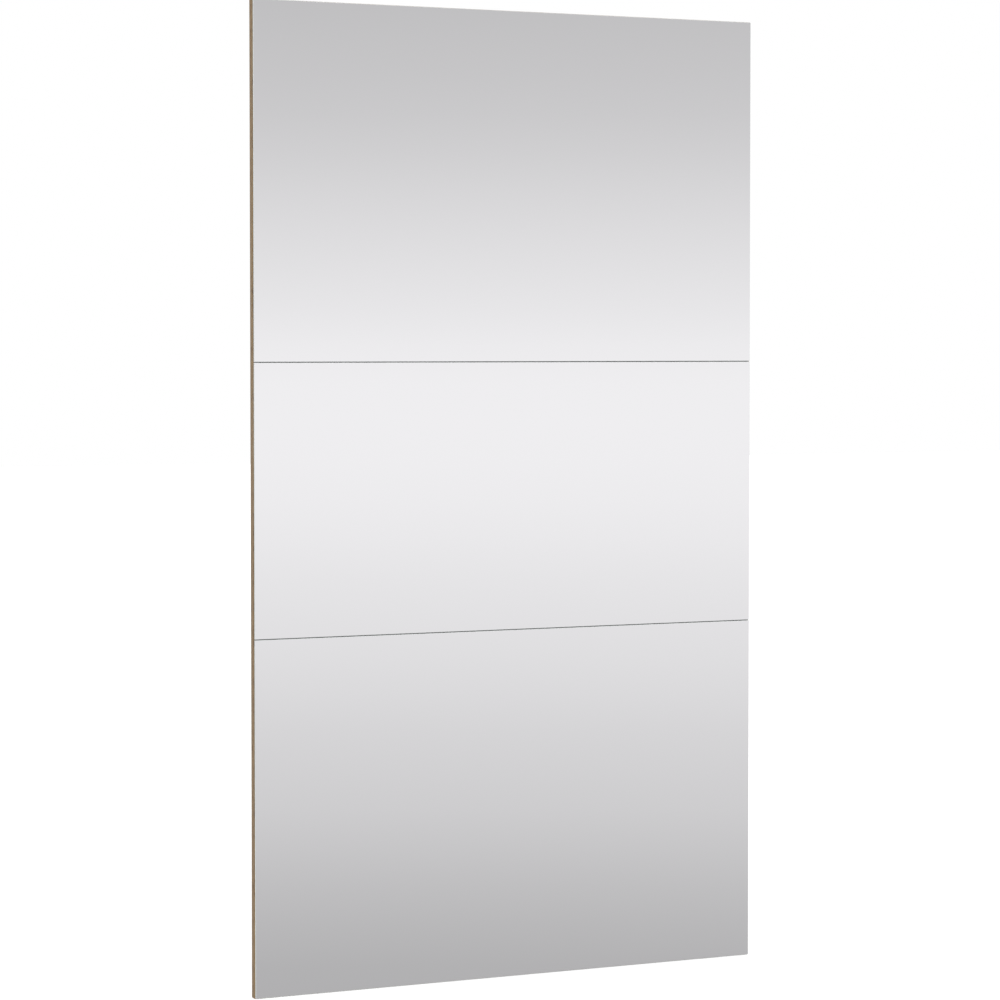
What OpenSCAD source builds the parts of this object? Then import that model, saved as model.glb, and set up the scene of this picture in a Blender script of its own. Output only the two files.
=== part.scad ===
// Mirrored sliding door: one wardrobe door leaf with three mirror panes, two roller carriages that it
// hangs on and two sprung floor guides, all on the leaf's rear face.
// X runs along the width, the mirror faces -Y, Z is up, and the origin is the middle of the bottom edge.

/* [Leaf] */
// Width of the leaf over its edge bands
door_w = 1250; // [900:10:1500]
// Height of the leaf over its edge bands
door_h = 2220; // [1900:10:2600]
// Thickness of the carrier board
board_t = 18; // [16:1:25]
// Thickness of the edge bands
band_t = 2; // [1:0.5:3]
// Radius milled along the outer corners of the edge bands
band_r = 1; // [0.3:0.1:2]

/* [Mirror] */
// Thickness of the mirror glass
glass_t = 4; // [3:1:6]
// How far the panes stand back from the edges of the leaf
glass_inset = 1; // [0.5:0.5:4]
// Height of the top pane and of the bottom pane
outer_pane_h = 800; // [500:10:900]
// Width of the joint between two panes
pane_joint = 2; // [1:0.5:5]
// Width of the ground arris round each pane
arris = 0.6; // [0.2:0.1:1]
// Thickness of the film on the back of each pane
film_t = 0.2; // [0.1:0.05:0.4]
// How far the film stands back from the edges of its pane
film_inset = 2; // [1:0.5:6]

/* [Mirror fixing] */
// Thickness of the mounting tape and of the adhesive beads beside it
tape_t = 1; // [0.8:0.1:2]
// Width of one strip of tape
tape_w = 19; // [12:1:25]
// Number of strips behind each pane
tape_count = 5; // [3:1:8]
// How far the strips and beads end from the edges of the pane
tape_inset = 14; // [6:1:40]
// Width of a bead of adhesive after the pane is pressed on
bead_w = 9; // [5:1:14]

/* [Carriage] */
// Distance from the leaf's side edge to the middle of a carriage
carriage_inset = 150; // [90:5:250]
// Distance from the leaf's top edge down to the rail line that the wheels run on
run_drop = 56; // [50:1:80]
// Distance from the leaf's rear face to the middle of the wheels
rail_offset = 22; // [21:0.5:26]
// Outer diameter of a wheel
wheel_d = 32; // [30:1:36]
// Width of a wheel over its rim
wheel_w = 9; // [8:0.5:10]
// Distance between the two axles of a carriage
wheel_pitch = 68; // [62:1:90]
// Radius of the groove in the rim
groove_r = 3.2; // [2.8:0.1:3.4]
// Depth of the groove in the rim
groove_depth = 2.2; // [1.5:0.1:2.6]
// Outer diameter of a wheel's ball bearing
bearing_d = 16; // [14:0.5:17]
// Width of a wheel's ball bearing
bearing_w = 5; // [4:0.5:6]
// Diameter of the journal that the bearing sits on
journal_d = 5; // [4:0.5:5.5]
// Thickness of the slider plate that carries the wheels
slider_t = 3; // [2.5:0.5:4]
// Width of the slider plate between the keeper tabs
slider_w = 65; // [60:1:76]
// Step between the slider plate's lower part and the part that carries the wheels
slider_step = 6; // [3:0.5:7]
// How far the stiffening beads stand out of the slider plate
bead_lift = 1.2; // [0.8:0.1:1.5]

/* [Hanger plate] */
// Thickness of the hanger plate
plate_t = 2.5; // [2:0.5:3]
// Height of the hanger plate with its lug
plate_h = 66; // [62:1:90]
// Length of one keeper tab
keeper_l = 14; // [10:1:18]
// Distance between the two keeper tabs of one side
keeper_pitch = 30; // [24:1:34]
// Play of the slider plate under the keeper tabs, on each face
keeper_play = 0.2; // [0.1:0.05:0.4]
// Distance between the upper and the lower screws
hanger_screw_pitch = 44; // [36:1:48]

/* [Height screw] */
// How far the leaf can be lifted or lowered from the middle
adjust_travel = 4; // [2:0.5:5]
// Diameter of the height screw
screw_d = 6; // [5:0.5:6]
// Distance from the leaf's rear face to the height screw
screw_offset = 11.5; // [11:0.5:13]
// Height of the height screw's head
screw_head_h = 5; // [4:0.5:7]
// Width across the flats of the socket in its head
socket_af = 4; // [3:0.5:5]
// Height of the nut block
nut_h = 12; // [8:1:14]

/* [Lift catch] */
// Distance from the rail line down to the top of the catch
catch_drop = 8; // [7:0.5:12]
// Thickness of the catch
catch_t = 5; // [4:0.5:6]
// Distance between the catch's pivot and its tip
catch_reach = 14; // [12:0.5:18]
// Sideways distance from the middle of the carriage to the catch's pivot
catch_side = 20; // [17:0.5:21]
// Diameter of the catch's rivet
catch_rivet_d = 4; // [3:0.5:4]

/* [Floor guide] */
// Distance from the leaf's side edge to a guide pin
guide_inset = 150; // [60:5:250]
// Distance from the leaf's rear face to a guide pin
guide_offset = 19; // [16:0.5:26]
// Height of the guide's lower end over the leaf's bottom edge
guide_low = 6; // [2:1:20]
// Diameter of the guide pin
pin_d = 8; // [6:0.5:8.5]
// Diameter of the sleeve on the guide pin
sleeve_d = 11; // [10:0.5:14]
// Length of the sleeve on the guide pin
sleeve_l = 14; // [10:1:20]
// How far the guide pin can be lifted
guide_travel = 10; // [6:1:14]
// Thickness of the guide bracket
bracket_t = 2; // [1.5:0.5:3]
// Radius of the bracket's round lugs
bracket_lug_r = 10; // [9:0.5:12]
// How far the darts that stiffen the bends reach along each leg
dart_leg = 6; // [4:0.5:7]
// Diameter of the knob
knob_d = 18; // [14:1:22]
// Height of the knob
knob_h = 14; // [12:1:20]
// Number of finger scallops round the knob
knob_scallops = 12; // [6:1:12]

/* [Guide spring] */
// Length of the spring with the pin down
spring_l = 34; // [30:1:44]
// Diameter of the spring wire
wire_d = 1; // [0.8:0.1:1.2]
// Mean diameter of the spring
spring_d = 10.8; // [10.6:0.1:11]
// Number of curls, with one close curl at each end
spring_curls = 8; // [6:1:9]

/* [Wood screws] */
// Diameter of the shanks
wood_screw_d = 4; // [3:0.5:4.5]
// Length under the head
wood_screw_l = 15; // [12:1:16]
// Diameter of the heads
wood_head_d = 8.4; // [7:0.2:9]
// Height of the heads
wood_head_h = 2.6; // [2:0.2:3]

/* [Hidden] */
$fn = 48;
SIDES = ["left", "right"];
PLACES = ["outer", "inner"];
PANES = ["bottom", "middle", "top"];
LEAF_NODES = ["carrier_board", "edge_band_left", "edge_band_right", "edge_band_top", "edge_band_bottom"];
PANE_NODES = ["mirror", "safety_film", "mirror_tape", "mirror_adhesive"];
SIDE_NODES = ["hanger_plate", "hanger_screws", "carriage_frame", "wheel_axles", "bearing_inner_rings",
    "height_nut", "height_screw", "screw_clip", "lift_catch", "catch_rivet", "guide_bracket",
    "guide_screws", "guide_pin", "guide_sleeve", "guide_clip", "guide_spring", "guide_knob"];
WHEEL_NODES = ["wheel_tyre", "wheel_bearing"];

// Colours
oak = "#a4845f";
mirror_silver = "#d9dddd";
film_grey = "#8b9094";
tape_white = "#e8e8e4";
adhesive_grey = "#b9bab5";
zinc = "#b9bdc1";
dark_steel = "#7d8288";
bearing_steel = "#9ea3a8";
tyre_white = "#e6e3da";
catch_grey = "#4a4d50";
black_plastic = "#26282a";

// Fits
part_gap = 0.3;      // between moving pieces that don't touch
running_gap = 0.05;  // radial play of a shaft in its bore
seat_gap = 0.02;     // radial play of a piece pressed on or in another of its own body

// Leaf
rear_y = board_t / 2;
board_front_y = -board_t / 2;
glass_rear_y = board_front_y - tape_t - film_t;
glass_front_y = glass_rear_y - glass_t;
pane_w = door_w - 2 * glass_inset;
middle_pane_h = door_h - 2 * glass_inset - 2 * outer_pane_h - 2 * pane_joint;
pane_heights = [outer_pane_h, middle_pane_h, outer_pane_h];
pane_lows = [glass_inset, glass_inset + outer_pane_h + pane_joint,
    door_h - glass_inset - outer_pane_h];
band_round = min(band_r, 0.8 * band_t);
tape_run = pane_w - 2 * tape_inset - tape_w;
tape_step = tape_run / (tape_count - 1);

// Heights of the carriage, from the rail line down and up
run_z = door_h - run_drop;
axle_z = run_z + wheel_d / 2 - groove_depth;
catch_top = run_z - catch_drop;
catch_low = catch_top - catch_t;
catch_lug_top = catch_low - part_gap;
catch_lug_low = catch_lug_top - slider_t;
keeper_top = catch_lug_low - adjust_travel - 1;
plate_margin = 5;
plate_top = keeper_top + plate_margin;
plate_low = plate_top - plate_h;
bend_r = 2;
lug_top = plate_low + plate_t;
slider_low = lug_top + bend_r + adjust_travel + 1;
step_low = catch_top + 2.5;
step_high = step_low + slider_step + 1;
cross_low = step_high + 1.5;
wheel_top = axle_z + wheel_d / 2;
flange_low = wheel_top + 2;
flange_top = flange_low + slider_t;

// Depths of the carriage, from the leaf's rear face back
slider_y = plate_t + keeper_play;
slider_back = slider_y + slider_t;
cross_y = slider_y + slider_step;
cross_back = cross_y + slider_t;
keeper_lip_y = slider_back + keeper_play;
wheel_front = rail_offset - wheel_w / 2;
bearing_front = rail_offset - bearing_w / 2;
bearing_back = rail_offset + bearing_w / 2;
flange_back = wheel_front + 3;

// Widths of the carriage
keeper_r = 0.5;
keeper_in = slider_w / 2 + keeper_r + 0.1;
keeper_out = keeper_in + plate_t;
keeper_lip_in = keeper_in - 4;
window_out = keeper_out + 10;
hanger_screw_x = window_out + wood_head_d / 2 + 1.5;
plate_half = hanger_screw_x + wood_head_d / 2 + 2.5;
cross_half = wheel_pitch / 2 + wheel_d / 2 + 4;
keeper_round = 2;
slider_round = 5;
hanger_holes = [for (x = [-hanger_screw_x, hanger_screw_x]) for (i = [0:2])
    [x, plate_top - 7 - i * hanger_screw_pitch / 2]];

// Height screw and its nut
nut_r = screw_d / 2 + 3.5;
nut_mid = keeper_top - 1.2 * keeper_l;
nut_top = nut_mid + nut_h / 2;
nut_spigot_r = 4;
screw_head_r = screw_d / 2 + 2;
screw_top = nut_top + adjust_travel + 3;
lug_reach = screw_offset + screw_d / 2 + 4;
lug_half = 11;
lug_root = 12;
clip_t = 1;

// Lift catch
catch_pivot_y = slider_back + 6;
catch_hub_r = 4.3;
catch_tip_r = 3.2;
catch_lug_half = 7;
catch_lug_back = catch_pivot_y + catch_hub_r + 1;
catch_bend_r = 1;
catch_window_low = catch_lug_low - 10;

// Stiffening beads in the slider plate and darts in the bends
bead_punch_r = 1.5;
bead_r = bead_punch_r + slider_t;
bead_x = slider_w / 2 - 10.5;
bead_low = slider_low + 8;
bead_high = catch_window_low - 5;
dart_half = 2.2;
flange_dart_x = 9;

// Wheel
wheel_r = wheel_d / 2;
hub_w = bearing_w + 2;
web_w = bearing_w;
hub_r = bearing_d / 2 + 2;
inner_ring_r = journal_d / 2 + 1.5;
shield_r = bearing_d / 2 - 1.4;
shoulder_r = inner_ring_r + 0.5;

// Floor guide
lower_lug_low = guide_low + sleeve_l + guide_travel + 1;
lower_lug_top = lower_lug_low + bracket_t;
guide_clip_low = lower_lug_top + 0.1;
guide_clip_t = 1.2;
spring_seat_gap = 0.2;
spring_low = guide_clip_low + guide_clip_t + spring_seat_gap;
spring_top = spring_low + spring_l;
upper_lug_low = spring_top + spring_seat_gap;
upper_lug_top = upper_lug_low + bracket_t;
knob_low = upper_lug_top + part_gap;
knob_skirt = 3;
scallop_r = 2;
scallop_depth = 0.9;
bracket_wing_half = bracket_lug_r + wood_head_d + 9;
bracket_hole_x = bracket_lug_r + wood_head_d / 2 + 4;
bracket_mid = (lower_lug_low + upper_lug_top) / 2;
bracket_wing_h = upper_lug_top - lower_lug_low - 8;
bracket_holes = [for (x = [-bracket_hole_x, bracket_hole_x]) for (s = [-1, 1])
    [x, bracket_mid + s * (bracket_wing_h / 2 - 7)]];

// Guide spring: its wire follows one helix with a close curl at each end
spring_steps = 8;
wire_sides = 6;
close_pitch = wire_d + 0.8;
open_curls = spring_curls - 2;
spring_rise = spring_l - wire_d;
open_pitch = (spring_rise - 2 * close_pitch) / open_curls;
function spring_z(curl) = curl < 1 ? curl * close_pitch
    : curl < spring_curls - 1 ? close_pitch + (curl - 1) * open_pitch
    : spring_rise - (spring_curls - curl) * close_pitch;
function spring_point(i) = let(curl = i / spring_steps, a = 360 * curl)
    [spring_d / 2 * cos(a), spring_d / 2 * sin(a), spring_z(curl)];
spring_points = [for (i = [0:spring_steps * spring_curls]) spring_point(i)];
spring_gap = min([for (i = [0:len(spring_points) - 1])
    for (j = [i + spring_steps / 2 + 1:1:len(spring_points) - 1])
    norm(spring_points[i] - spring_points[j])]) - wire_d;
echo(least_spring_gap = spring_gap);

// Bent sheet: the outline of a strip of sheet that follows a line with an arc at each bend
bend_steps = 6;
function unit(v) = v / norm(v);
function left_of(d) = [-d[1], d[0]];
function turned(v, a) = [v[0] * cos(a) - v[1] * sin(a), v[0] * sin(a) + v[1] * cos(a)];
function turn_angle(a, b) = atan2(a[0] * b[1] - a[1] * b[0], a[0] * b[0] + a[1] * b[1]);
function bend_arc(before, corner, after, r) =
    let(d = unit(corner - before), a = turn_angle(d, unit(after - corner)), s = sign(a),
        centre = corner - d * r * tan(abs(a) / 2) + left_of(d) * r * s)
    [for (i = [0:bend_steps]) let(n = turned(left_of(d), a * i / bend_steps)) [centre - n * r * s, n]];
function sheet_line(p, r) = let(last = len(p) - 1)
    concat([[p[0], left_of(unit(p[1] - p[0]))]],
        [for (i = [1:last - 1]) each bend_arc(p[i - 1], p[i], p[i + 1], r)],
        [[p[last], left_of(unit(p[last] - p[last - 1]))]]);
function sheet_outline(p, t, r_in) = let(line = sheet_line(p, r_in + t / 2), last = len(line) - 1)
    concat([for (s = line) s[0] + s[1] * t / 2],
        [for (i = [last:-1:0]) line[i][0] - line[i][1] * t / 2]);

// Extrudes a profile drawn in Y and Z along X, over a width w about the middle
module along_x(w) {
    rotate([90, 0, 90]) linear_extrude(w, center = true) children();
}

// Extrudes a shape drawn in X and Z from y0 to y1
module along_y(y0, y1) {
    translate([0, y1, 0]) rotate([90, 0, 0]) linear_extrude(y1 - y0) children();
}

// Turns a revolved piece so that its axis runs along Y and its foot stands at y
module facing_y(y) {
    translate([0, y, 0]) rotate([-90, 0, 0]) children();
}

module rod_y(y0, y1, r) {
    facing_y(y0) cylinder(h = y1 - y0, r = r);
}

// Rectangle about its middle with round corners
module round_rect(w, h, r) {
    square([w - 2 * r, h], center = true);
    square([w, h - 2 * r], center = true);
    for (x = [-1, 1]) {
        for (y = [-1, 1]) translate([x * (w / 2 - r), y * (h / 2 - r)]) circle(r);
    }
}

// Tapered bar between a circle of r1 at the origin and one of r2 at distance d along Y
module taper_bar(r1, r2, d) {
    flank = 0.98;
    circle(r1);
    translate([0, d]) circle(r2);
    polygon([[flank * r1, 0], [flank * r2, d], [-flank * r2, d], [-flank * r1, 0]]);
}

// Fillet for the inner corner at the origin, in the quadrant given by the signs
module inner_fillet(r, sx, sy) {
    flip_x = sx < 0 ? 1 : 0;
    flip_y = sy < 0 ? 1 : 0;
    mirror([flip_x, 0]) mirror([0, flip_y]) difference() {
        square(r);
        translate([r, r]) circle(r);
    }
}

// Rod of radius r with round ends, which runs along Z about its middle
module round_rod(r, length) {
    straight = length / 2 - r;
    rotate_extrude() polygon(concat([for (a = [-90:15:0]) [r * cos(a), r * sin(a) - straight]],
        [for (a = [0:15:90]) [r * cos(a), r * sin(a) + straight]]));
}

// Dart pressed into the inside of a bend. The inner faces meet at the origin and run along +Y and +Z,
// and the dart is rooted in them.
module bend_dart(leg, root) {
    crest = leg / sqrt(2);
    flat = 0.6 * dart_half;
    intersection() {
        rotate([45, 0, 0]) linear_extrude(3 * leg, center = true)
            polygon([[-dart_half, -leg], [dart_half, -leg], [dart_half, crest - dart_half + flat],
                [flat, crest], [-flat, crest], [-dart_half, crest - dart_half + flat]]);
        translate([-leg, -root, -root]) cube(2 * leg);
    }
}

// Open retaining clip: a ring with a mouth
module clip_ring(r_out, r_in, mouth) {
    difference() {
        circle(r_out);
        circle(r_in);
        translate([-mouth / 2, 0]) square([mouth, r_out + 1]);
        for (s = [-1, 1]) translate([s * r_in * 1.15, -r_in * 0.75]) circle(r_in * 0.28);
    }
}

// Places a fitting on the leaf's rear face, turned about for the left side
module at_side(side, inset) {
    d = side == "left" ? -1 : 1;
    translate([d * (door_w / 2 - inset), rear_y, 0]) mirror([d < 0 ? 1 : 0, 0, 0]) children();
}

// Leaf

module carrier_board() {
    color(oak) difference() {
        translate([band_t - door_w / 2, board_front_y, band_t])
            cube([door_w - 2 * band_t, board_t, door_h - 2 * band_t]);
        for (side = SIDES) {
            at_side(side, carriage_inset) pilot_holes(hanger_holes, plate_t);
            at_side(side, guide_inset) pilot_holes(bracket_holes, bracket_t);
        }
    }
}

module pilot_holes(places, sheet_t) {
    depth = wood_screw_l - sheet_t;
    for (p = places) translate([p[0], 0, p[1]]) rod_y(-depth, 1, wood_screw_d / 2 + seat_gap);
}

// Section of an edge band: its outer face is at 0 and it grows towards +X
module band_section() {
    half = board_t / 2;
    translate([band_round, -half]) square([band_t - band_round, board_t]);
    translate([0, band_round - half]) square([band_t, board_t - 2 * band_round]);
    for (s = [-1, 1]) translate([band_round, s * (half - band_round)]) circle(band_round);
}

module edge_band_left() {
    color(oak) translate([-door_w / 2, 0, 0]) linear_extrude(door_h) band_section();
}

module edge_band_right() {
    color(oak) mirror([1, 0, 0]) translate([-door_w / 2, 0, 0]) linear_extrude(door_h) band_section();
}

// Band along the bottom edge, between the two side bands
module edge_band_bottom() {
    color(oak) along_x(door_w - 2 * band_t) mirror([1, -1, 0]) band_section();
}

module edge_band_top() {
    color(oak) translate([0, 0, door_h]) mirror([0, 0, 1]) along_x(door_w - 2 * band_t)
        mirror([1, -1, 0]) band_section();
}

// Section through a pane with an arris ground on all four of its long corners
module arris_section(w, t, c) {
    polygon([[c, 0], [w - c, 0], [w, c], [w, t - c], [w - c, t], [c, t], [0, t - c], [0, c]]);
}

module mirror_pane(i) {
    color(mirror_silver) translate([-pane_w / 2, glass_front_y, pane_lows[i]]) intersection() {
        linear_extrude(pane_heights[i]) arris_section(pane_w, glass_t, arris);
        translate([pane_w / 2, glass_t, 0]) mirror([0, 1, 0]) along_x(pane_w)
            mirror([1, -1, 0]) arris_section(pane_heights[i], glass_t, arris);
    }
}

module safety_film(i) {
    color(film_grey) translate([film_inset - pane_w / 2, glass_rear_y, pane_lows[i] + film_inset])
        cube([pane_w - 2 * film_inset, film_t, pane_heights[i] - 2 * film_inset]);
}

module mirror_tape(i) {
    color(tape_white) for (k = [0:tape_count - 1]) {
        translate([k * tape_step - tape_run / 2 - tape_w / 2, board_front_y - tape_t,
            pane_lows[i] + tape_inset]) cube([tape_w, tape_t, pane_heights[i] - 2 * tape_inset]);
    }
}

// Beads of adhesive, one midway between two strips, with round ends
module mirror_adhesive(i) {
    color(adhesive_grey) for (k = [0:tape_count - 2]) {
        translate([(k + 0.5) * tape_step - tape_run / 2, 0, pane_lows[i] + pane_heights[i] / 2])
            along_y(board_front_y - tape_t, board_front_y)
                round_rect(bead_w, pane_heights[i] - 2 * tape_inset, 0.45 * bead_w);
    }
}

// Wood screws

// Pan-head screw that points to -Y, with its head's underside at y
module wood_screw(y) {
    r = wood_screw_d / 2;
    head_r = wood_head_d / 2;
    tip = wood_screw_l - 5;
    slot = 0.5 * wood_head_d;
    difference() {
        facing_y(y) rotate_extrude() polygon([[0, -wood_screw_l], [0.4, -wood_screw_l], [r, -tip],
            [r, 0], [head_r, 0], [head_r, 0.35 * wood_head_h], [0.85 * head_r, 0.75 * wood_head_h],
            [0.5 * head_r, wood_head_h], [0, wood_head_h]]);
        for (turn = [45, 135]) {
            translate([0, y + wood_head_h, 0]) rotate([0, turn, 0]) cube([slot, 2.4, 0.9], center = true);
        }
    }
}

module wood_screws(places, y) {
    color(zinc) for (p = places) translate([p[0], 0, p[1]]) wood_screw(y);
}

// Hanger plate

module hanger_outline() {
    body_low = plate_top - hanger_screw_pitch - 14;
    difference() {
        union() {
            translate([0, (body_low + plate_top) / 2])
                round_rect(2 * plate_half, plate_top - body_low, 6);
            translate([-lug_half, plate_low + 3]) square([2 * lug_half, plate_h / 2]);
            for (s = [-1, 1]) translate([s * lug_half, body_low]) inner_fillet(4, s, -1);
        }
        for (p = hanger_holes) translate(p) circle(wood_screw_d / 2 + 0.4);
        for (s = [-1, 1]) {
            for (k = [0, 1]) {
                window_x = s > 0 ? keeper_in - keeper_r : -window_out;
                translate([window_x, keeper_top - keeper_l - 1 - k * keeper_pitch])
                    square([window_out - keeper_in + keeper_r, keeper_l + 2]);
            }
        }
        translate([-lug_half - 1, 0]) square([2 * lug_half + 2, lug_top + bend_r]);
    }
}

// One tab, lanced out of the plate and bent over the slider plate
module keeper_tab() {
    bend_x = keeper_in + plate_t / 2;
    lip_y = keeper_lip_y + plate_t / 2;
    difference() {
        linear_extrude(keeper_l) polygon(sheet_outline([[keeper_in - 4, plate_t / 2],
            [bend_x, plate_t / 2], [bend_x, lip_y], [keeper_lip_in, lip_y]], plate_t, keeper_r));
        for (end = [0, 1]) {
            translate([keeper_lip_in, 0, end * keeper_l]) along_y(slider_back, lip_y + plate_t)
                inner_fillet(keeper_round, 1, 1 - 2 * end);
        }
    }
}

// Lug at the plate's lower end, which the height screw turns in
module screw_lug() {
    mid = plate_low + plate_t / 2;
    difference() {
        along_x(2 * lug_half) polygon(sheet_outline([[plate_t / 2, mid + lug_root], [plate_t / 2, mid],
            [lug_reach, mid]], plate_t, bend_r));
        translate([0, screw_offset, plate_low - 1])
            cylinder(h = plate_t + 2, r = screw_d / 2 + running_gap);
        for (s = [-1, 1]) {
            translate([s * lug_half, lug_reach, plate_low - 1]) linear_extrude(plate_t + 2)
                inner_fillet(4, -s, -1);
        }
    }
}

module hanger_plate() {
    color(zinc) union() {
        along_y(0, plate_t) hanger_outline();
        screw_lug();
        for (s = [0, 1]) {
            for (k = [0, 1]) {
                mirror([s, 0, 0]) translate([0, 0, keeper_top - keeper_l - k * keeper_pitch]) keeper_tab();
            }
        }
    }
}

// Carriage frame: slider plate, step, cross piece with a flange over the wheels, and the catch's lug

module frame_outline() {
    corner = 8;
    half = slider_w / 2;
    difference() {
        union() {
            translate([-half, slider_low]) square([2 * half, cross_low + 1 - slider_low]);
            translate([corner - cross_half, cross_low])
                square([2 * (cross_half - corner), flange_top - cross_low + 1]);
            translate([-cross_half, cross_low + corner])
                square([2 * cross_half, flange_top - cross_low - corner + 1]);
            for (s = [-1, 1]) {
                translate([s * (cross_half - corner), cross_low + corner]) circle(corner);
                translate([s * half, cross_low]) inner_fillet(4, s, -1);
            }
        }
        for (s = [-1, 1]) {
            translate([s * wheel_pitch / 2, axle_z]) circle(journal_d / 2 + 0.5 + seat_gap);
        }
        translate([0, nut_mid]) circle(nut_spigot_r + seat_gap);
        translate([0, axle_z + 1]) round_rect(wheel_pitch - wheel_d - 12, 14, 5);
        translate([catch_side, catch_window_low]) catch_window();
        for (s = [-1, 1]) translate([s * half, slider_low]) inner_fillet(slider_round, -s, 1);
    }
}

// Opening in the slider plate that the catch's lug was bent out of
module catch_window() {
    top = catch_lug_low + slider_t + catch_bend_r - catch_window_low;
    translate([-catch_lug_half - 0.8, 0]) square([2 * catch_lug_half + 1.6, top]);
}

// The two beads pressed into the slider plate from its front, as rods of radius r about the same lines
module stiffening_beads(r) {
    for (s = [-1, 1]) {
        translate([s * bead_x, slider_back + bead_lift - bead_r, (bead_low + bead_high) / 2])
            round_rod(r, bead_high - bead_low - 2 * (bead_r - r));
    }
}

module catch_lug() {
    mid = catch_lug_low + slider_t / 2;
    plate_mid = slider_y + slider_t / 2;
    difference() {
        along_x(2 * catch_lug_half) polygon(sheet_outline([[plate_mid, mid + 5], [plate_mid, mid],
            [catch_lug_back, mid]], slider_t, catch_bend_r));
        translate([0, catch_pivot_y, catch_lug_low - 1])
            cylinder(h = slider_t + 2, r = catch_rivet_d / 2 + seat_gap);
        for (s = [-1, 1]) {
            translate([s * catch_lug_half, catch_lug_back, catch_lug_low - 1])
                linear_extrude(slider_t + 2) inner_fillet(3, -s, -1);
        }
    }
}

module carriage_frame() {
    low_mid = slider_y + slider_t / 2;
    cross_mid = cross_y + slider_t / 2;
    flange_mid = flange_low + slider_t / 2;
    color(zinc) difference() {
        union() {
            intersection() {
                along_x(2 * cross_half) polygon(sheet_outline([[low_mid, slider_low], [low_mid, step_low],
                    [cross_mid, step_high], [cross_mid, flange_mid], [flange_back, flange_mid]],
                    slider_t, bend_r));
                along_y(0, flange_back + 1) frame_outline();
            }
            translate([catch_side, 0, 0]) catch_lug();
            intersection() {
                stiffening_beads(bead_r);
                translate([-slider_w / 2, low_mid, slider_low]) cube([slider_w, bead_r, plate_h]);
            }
            for (s = [-1, 1]) {
                translate([s * flange_dart_x, cross_back, flange_low]) mirror([0, 0, 1])
                    bend_dart(dart_leg, 0.2 * slider_t);
            }
        }
        stiffening_beads(bead_punch_r);
    }
}

// Shoulder rivet: formed head, shank in the cross piece, shoulder, journal and outer head
module wheel_axle() {
    shank_r = journal_d / 2 + 0.5;
    journal_r = journal_d / 2;
    head_r = inner_ring_r;
    facing_y(0) rotate_extrude() polygon([[0, cross_y - 1.6], [shank_r + 0.6, cross_y - 1.6],
        [shank_r + 1.6, cross_y - 0.8], [shank_r + 1.6, cross_y], [shank_r, cross_y],
        [shank_r, cross_back], [shoulder_r, cross_back], [shoulder_r, bearing_front - 0.5],
        [inner_ring_r, bearing_front], [journal_r, bearing_front], [journal_r, bearing_back],
        [head_r, bearing_back], [head_r, bearing_back + 1], [head_r - 0.8, bearing_back + 1.8],
        [0, bearing_back + 1.8]]);
}

module wheel_axles() {
    color(dark_steel) for (s = [-1, 1]) translate([s * wheel_pitch / 2, 0, axle_z]) wheel_axle();
}

// Section of a ring with small chamfers, from r0 to r1 and y0 to y1
module ring_section(r0, r1, y0, y1, c) {
    polygon([[r0 + c, y0], [r1 - c, y0], [r1, y0 + c], [r1, y1 - c], [r1 - c, y1], [r0 + c, y1],
        [r0, y1 - c], [r0, y0 + c]]);
}

module bearing_inner_rings() {
    bore_r = journal_d / 2 + seat_gap;
    color(bearing_steel) for (s = [-1, 1]) translate([s * wheel_pitch / 2, 0, axle_z]) facing_y(0)
        rotate_extrude() ring_section(bore_r, inner_ring_r, bearing_front, bearing_back, 0.2);
}

// Outer ring of the bearing with a shield on each side
module wheel_bearing() {
    color(bearing_steel) facing_y(0) rotate_extrude() {
        ring_section(shield_r, bearing_d / 2, bearing_front, bearing_back, 0.2);
        translate([inner_ring_r + running_gap, bearing_front + 0.5])
            square([shield_r - inner_ring_r - running_gap + 0.1, bearing_w - 1]);
    }
}

// Grooved roller: rim, web and hub, moulded round the bearing
module wheel_tyre() {
    bore_r = bearing_d / 2 + seat_gap;
    lip_r = bearing_d / 2 - 0.7;
    rim_in = wheel_r - groove_depth - 1.5;
    hub_front = rail_offset - hub_w / 2;
    hub_back = rail_offset + hub_w / 2;
    web_front = rail_offset - web_w / 2;
    web_back = rail_offset + web_w / 2;
    wheel_back = rail_offset + wheel_w / 2;
    color(tyre_white) facing_y(0) rotate_extrude() difference() {
        polygon([[lip_r, hub_front], [hub_r, hub_front], [hub_r + 0.3, web_front],
            [rim_in - 0.3, web_front], [rim_in, wheel_front], [wheel_r - 0.6, wheel_front],
            [wheel_r, wheel_front + 0.6], [wheel_r, wheel_back - 0.6], [wheel_r - 0.6, wheel_back],
            [rim_in, wheel_back], [rim_in - 0.3, web_back], [hub_r + 0.3, web_back],
            [hub_r, hub_back], [lip_r, hub_back]]);
        translate([lip_r - 1, bearing_front]) square([bore_r - lip_r + 1, bearing_w]);
        translate([wheel_r - groove_depth + groove_r, rail_offset]) circle(groove_r);
    }
}

// Height screw

// Block riveted to the slider plate, with the thread that the height screw turns in
module height_nut() {
    color(dark_steel) difference() {
        union() {
            translate([0, 0, nut_mid - nut_h / 2]) linear_extrude(nut_h) {
                translate([-nut_r, slider_back]) square([2 * nut_r, screw_offset - slider_back]);
                translate([0, screw_offset]) intersection() {
                    circle(nut_r);
                    translate([-nut_r - 1, -1]) square([2 * nut_r + 2, nut_r + 2]);
                }
            }
            translate([0, 0, nut_mid]) rod_y(slider_y, slider_back + 0.5, nut_spigot_r);
        }
        translate([0, screw_offset, nut_mid - nut_h / 2 - 1])
            cylinder(h = nut_h + 2, r = screw_d / 2 + running_gap);
    }
}

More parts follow.
